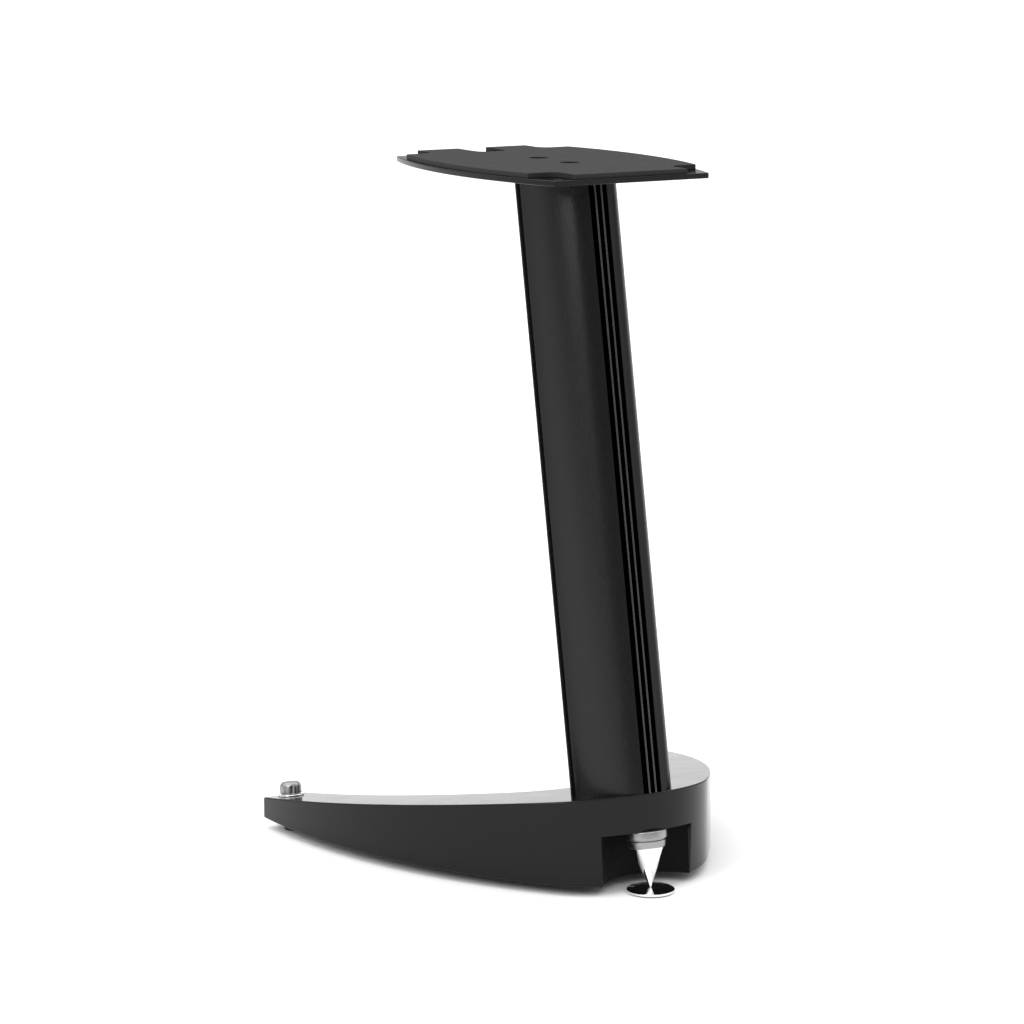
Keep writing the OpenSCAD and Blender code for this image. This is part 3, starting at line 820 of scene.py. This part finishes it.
def make_plate():
    """Steel plate with rounded rim, corner holes and screw holes."""
    outline = [(x, PLATE_MID_Y + y) for x, y in plate_outline()]
    plate = prism("plate", outline, flat(PLATE_BOTTOM_Z), flat(PLATE_TOP_Z), PLATE_BLACK)
    cutters = []
    for sx in (-1, 1):
        for sy in (-1, 1):
            place = Matrix.Translation((sx * CORNER_HOLE_DX / 2, PLATE_MID_Y + sy * CORNER_HOLE_DY / 2,
                                        PLATE_BOTTOM_Z))
            cutters.append(cylinder_cutter(place, CORNER_HOLE_R, -10 * MM, 20 * MM, 48))
    for y in PLATE_SCREW_YS:
        place = Matrix.Translation((0, PLATE_MID_Y + y, PLATE_BOTTOM_Z))
        hole_r = PLATE_SCREW_HEAD_R + SCREW_HEAD_GAP
        cutters.append(cylinder_cutter(place, hole_r, -10 * MM, 20 * MM, 48))
    cut(plate, *cutters)
    round_edges(plate, PLATE_EDGE_R, 4)
    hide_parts("top_plate")


def make_mat():
    """Foam mat with cut corners, a cable notch and two windows."""
    half_d = PLATE_HALF_D - MAT_INSET
    side_c = PLATE_SIDE_R - (PLATE_HALF_W - MAT_INSET)
    cut_y = PLATE_HALF_D - MAT_CUT_D
    side_angle = math.asin(cut_y / PLATE_SIDE_R)
    notch_y = half_d - CABLE_NOTCH_D
    notch_x = CABLE_NOTCH_W / 2
    inner_x = MAT_EDGE_HALF_W + MAT_CUT_R
    back = arc(inner_x, cut_y + MAT_CUT_R, MAT_CUT_R, -math.pi / 2, -math.pi, 10)
    front = [(x, -y) for x, y in back][::-1]
    right = [(MAT_EDGE_HALF_W, -half_d)] + front
    right += arc(-side_c, 0, PLATE_SIDE_R, -side_angle, side_angle, 48)
    right += back + [(MAT_EDGE_HALF_W, half_d), (notch_x, half_d)]
    right += arc(notch_x - CABLE_NOTCH_R, notch_y + CABLE_NOTCH_R, CABLE_NOTCH_R, 0, -math.pi / 2, 10)
    left = [(-x, y) for x, y in right][::-1]
    outline = [(x, PLATE_MID_Y + y) for x, y in right + left]
    mat = prism("mat", outline, flat(PLATE_TOP_Z), flat(MAT_TOP_Z), MAT_RUBBER)
    cutters = []
    for y in PLATE_SCREW_YS:
        place = Matrix.Translation((0, PLATE_MID_Y + y, PLATE_TOP_Z))
        cutters.append(cylinder_cutter(place, MAT_WINDOW_R, -10 * MM, 20 * MM, 64))
    cut(mat, *cutters)
    round_edges(mat, MAT_EDGE_R, 3)
    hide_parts("top_mat")


# ---------------------------------------------------------------- feet

def make_front_spike():
    """Polished cone, turned head flaring upwards, and the shank."""
    head_top = CONE_H + HEAD_H
    thread_top = ROOF_S + FRONT_INSERT_L - 2 * MM
    chamfer = 1 * MM
    profile = [(0, 0), (TIP_R, TIP_FLAT), (CONE_R, CONE_H), (CONE_R + EDGE, CONE_H + EDGE / 2),
               (HEAD_R, head_top - EDGE), (HEAD_R - EDGE, head_top), (SHANK_R, head_top),
               (SHANK_R, thread_top - chamfer), (SHANK_R - chamfer, thread_top), (0, thread_top)]
    profile = rounded_profile(profile, 0.3 * MM, 3)
    spike = lathe("front_spike_cone", profile, FRONT, SPIKE_CHROME, "front_screw", 128)
    spike.data.materials.append(RING_STEEL)
    to_spike = FRONT.inverted()
    for polygon in spike.data.polygons:
        if (to_spike @ polygon.center).z > CONE_H:
            polygon.material_index = 1
    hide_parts("front_spike")


def make_lock_ring():
    """Turned ring run up against the pocket's roof."""
    bottom = CONE_H + HEAD_H + RING_GAP
    profile = [(BORE_R, ROOF_S), (BORE_R, bottom), (RING_R - 2 * EDGE, bottom),
               (RING_R, bottom + 3 * EDGE), (RING_R, ROOF_S - EDGE), (RING_R - EDGE, ROOF_S),
               (BORE_R, ROOF_S)]
    ring = lathe("lock_ring", rounded_profile(profile, 0.5 * MM, 3), FRONT, RING_STEEL, ROOT, 128)
    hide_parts("front_lock_ring")


def make_knob(side):
    """Knob with a smooth domed crown over a fluted grip."""
    tip = REAR_TIPS[side]
    place = spike_matrix(tip) @ Matrix.Translation((0, 0, rear_top_s(tip) + FLANGE_T + KNOB_GAP))
    grip = KNOB_H - KNOB_CROWN_H
    crown_steps = 14
    run_out_steps = 4
    # Rows of height, radius and share of the flutes' full depth
    rows = [(0, KNOB_R - EDGE, 0.6), (EDGE * 0.3, KNOB_R - EDGE * 0.3, 0.9), (EDGE, KNOB_R, 1),
            (grip * 0.5, KNOB_R, 1), (grip, KNOB_R, 1)]
    for i in range(1, crown_steps + 1):
        a = math.pi / 2 * i / crown_steps
        fading = max(0.0, 1 - i / run_out_steps)
        rows.append((grip + KNOB_CROWN_H * math.sin(a),
                     KNOB_R - KNOB_CROWN_H * (1 - math.cos(a)), fading))
    steps_per_flute = 16
    segments = KNOB_FLUTES * steps_per_flute
    verts, faces = [], []
    for z, radius, fluting in rows:
        for k in range(segments):
            a = 2 * math.pi * k / segments
            dent = max(0.0, math.cos(a * KNOB_FLUTES) * 0.8 + 0.2)
            r = radius - KNOB_FLUTE_D * fluting * dent
            verts.append(place @ Vector((r * math.cos(a), r * math.sin(a), z)))
    for row in range(len(rows) - 1):
        for k in range(segments):
            j = (k + 1) % segments
            a, b = row * segments, (row + 1) * segments
            faces.append((a + k, a + j, b + j, b + k))
    faces.append(tuple(range(segments))[::-1])
    top = (len(rows) - 1) * segments
    faces.append(tuple(range(top, top + segments)))
    knob = mesh_piece(f"knob_{side}", verts, faces, KNOB_STEEL, f"rear_{side}_screw")
    smooth(knob, 50)
    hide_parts(f"rear_{side}_knob")


def make_flange(side):
    """Threaded bush through the arm with its flange on top."""
    tip = REAR_TIPS[side]
    top = rear_top_s(tip)
    bottom = 6.9 * MM
    chamfer = 0.5 * MM
    profile = [(BORE_R, top + FLANGE_T), (BORE_R, bottom), (INSERT_R, bottom), (INSERT_R, top),
               (FLANGE_R, top), (FLANGE_R, top + FLANGE_T - chamfer),
               (FLANGE_R - chamfer, top + FLANGE_T), (BORE_R, top + FLANGE_T)]
    flange = lathe(f"flange_{side}", rounded_profile(profile, 0.4 * MM, 3), spike_matrix(tip),
                   FLANGE_STEEL)
    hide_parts(f"rear_{side}_insert")


def make_rear_rod(side):
    """Pointed threaded rod."""
    tip = REAR_TIPS[side]
    end = rear_top_s(tip) + FLANGE_T + KNOB_GAP + KNOB_H - KNOB_CAP_T
    profile = [(0, 0), (TIP_R, TIP_FLAT), (SHANK_R, REAR_CONE_H), (SHANK_R, end), (0, end)]
    rod = lathe(f"rod_{side}", profile, spike_matrix(tip), SPIKE_CHROME, f"rear_{side}_screw")
    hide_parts(f"rear_{side}_spike")


def make_disc():
    """Low polished cone with a dimple for the front spike's point."""
    place = Matrix.Translation((FRONT_TIP.x, FRONT_TIP.y, 0))
    profile = [(0, PAD_T), (DISC_R - EDGE, PAD_T), (DISC_R, PAD_T + EDGE / 2), (DISC_R, DISC_RIM_H),
               (DISC_R - EDGE, DISC_RIM_H + EDGE / 2), (DIMPLE_R + EDGE, DISC_H), (DIMPLE_R, DISC_H),
               (0, FRONT_TIP.z - TIP_GAP)]
    profile = rounded_profile(profile, 0.25 * MM, 3)
    disc = lathe("front_disc_cone", profile, place, DISC_CHROME, "front_foot", 128)
    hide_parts("front_disc")


# ---------------------------------------------------------------- CAD nodes that stay

def dress(node, material):
    """Gives a CAD node that stays its finished material."""
    obj = frame["nodes"][node]
    obj.data.materials.clear()
    obj.data.materials.append(material)


def dress_hidden_nodes():
    """Fasteners, blocks, glides and the pad keep their CAD shape."""
    dress("front_insert", INSERT_BRASS)
    dress("column_bottom_block", BLOCK_ALUMINIUM)
    dress("column_top_block", BLOCK_ALUMINIUM)
    dress("base_bolts", OXIDE_STEEL)
    dress("base_bolt_washers", KNOB_STEEL)
    dress("plate_screws", OXIDE_STEEL)
    dress("front_disc_pad", PAD_FELT)
    dress("rear_left_glide", GLIDE_BLACK)
    dress("rear_right_glide", GLIDE_BLACK)


# ---------------------------------------------------------------- stage, light and camera

def make_stage():
    """Plain pale floor."""
    mat, nodes, links, shader = new_material("floor_white")
    vector = coordinates(nodes, links)
    drift = noise(nodes, links, vector, 0.8, 2)
    links.new(colour_between(nodes, links, drift, (0.9, 0.9, 0.9), (0.92, 0.92, 0.92)),
              shader.inputs["Base Color"])
    shader.inputs["Roughness"].default_value = 0.9
    shader.inputs["Specular IOR Level"].default_value = 0.1
    half = 60.0
    mesh = bpy.data.meshes.new("floor")
    mesh.from_pydata([(-half, -half, 0), (half, -half, 0), (half, half, 0), (-half, half, 0)], [],
                     [(0, 1, 2, 3)])
    mesh.materials.append(mat)
    floor = bpy.data.objects.new("floor", mesh)
    bpy.context.scene.collection.objects.link(floor)


def soft_light(name, place, aim, size, power):
    """A square area light aimed at a point."""
    data = bpy.data.lights.new(name, "AREA")
    data.size = size
    data.energy = power
    light = bpy.data.objects.new(name, data)
    light.location = place
    light.rotation_euler = (Vector(aim) - Vector(place)).to_track_quat("-Z", "Y").to_euler()
    bpy.context.scene.collection.objects.link(light)


CAMERA_SIDE = Vector((-0.5, -0.86, 0)).normalized()
# How bright the horizon is, from facing away from the camera's side (0) to facing it (1)
HORIZON_ENDS = (0.5, 0.32)
HORIZON_LEVELS = ((0.25, 0.85), (0.42, 1.1), (0.56, 0.85), (0.7, 0.52), (0.93, 0.42))
# How bright the sky is, and the heights on a unit sphere where it starts and is full
SKY_LEVEL = 2.0
SKY_FROM = 0.42
SKY_FULL = 0.7


def make_light():
    """Bright sky over a dimmer horizon that is darkest on the camera's side, and a softbox."""
    world = bpy.data.worlds.new("studio")
    world.use_nodes = True
    nodes, links = world.node_tree.nodes, world.node_tree.links
    background = nodes["Background"]
    coord = nodes.new("ShaderNodeTexCoord")
    facing = nodes.new("ShaderNodeVectorMath")
    facing.operation = "DOT_PRODUCT"
    facing.inputs[1].default_value = CAMERA_SIDE
    links.new(coord.outputs["Generated"], facing.inputs[0])
    horizon = nodes.new("ShaderNodeValToRGB")
    stops = horizon.color_ramp.elements
    for stop, level in zip(stops, HORIZON_ENDS):
        stop.color = (level, level, level, 1)
    for position, level in HORIZON_LEVELS:
        stops.new(position).color = (level, level, level, 1)
    links.new(spread(nodes, links, facing.outputs["Value"], 0, 1, -1, 1), horizon.inputs["Fac"])
    split = nodes.new("ShaderNodeSeparateXYZ")
    links.new(coord.outputs["Generated"], split.inputs["Vector"])
    height = spread(nodes, links, split.outputs["Z"], 0, 1, SKY_FROM, SKY_FULL)
    mix = nodes.new("ShaderNodeMix")
    mix.data_type = "RGBA"
    mix.inputs[SECOND].default_value = (SKY_LEVEL, SKY_LEVEL, SKY_LEVEL, 1)
    links.new(height, mix.inputs[FACTOR])
    links.new(horizon.outputs["Color"], mix.inputs[FIRST])
    links.new(mix.outputs[MIXED], background.inputs["Color"])
    background.inputs["Strength"].default_value = 1.0
    bpy.context.scene.world = world
    soft_light("left_softbox", place=(-3.0, -1.0, 1.9), aim=(0, 0, 0.4), size=1.3, power=40)


def make_camera():
    """Long lens at standing distance, in front and to the left."""
    data = bpy.data.cameras.new("camera")
    data.sensor_width = 36
    data.lens = 129
    camera = bpy.data.objects.new("camera", data)
    camera.location = (-1.6998, -2.8493, 0.9338)
    heading = math.radians(30.19)
    pitch = math.radians(-10.52)
    camera.rotation_euler = (math.pi / 2 + pitch, 0, -heading)
    bpy.context.scene.collection.objects.link(camera)
    bpy.context.scene.camera = camera
    bpy.context.scene.view_settings.view_transform = "Standard"


make_camera()
make_base()
make_shell()
make_trim()
make_panel()
make_plate()
make_mat()
make_front_spike()
make_lock_ring()
make_disc()
for rear_side in REAR_TIPS:
    make_knob(rear_side)
    make_flange(rear_side)
    make_rear_rod(rear_side)
dress_hidden_nodes()
make_stage()
make_light()
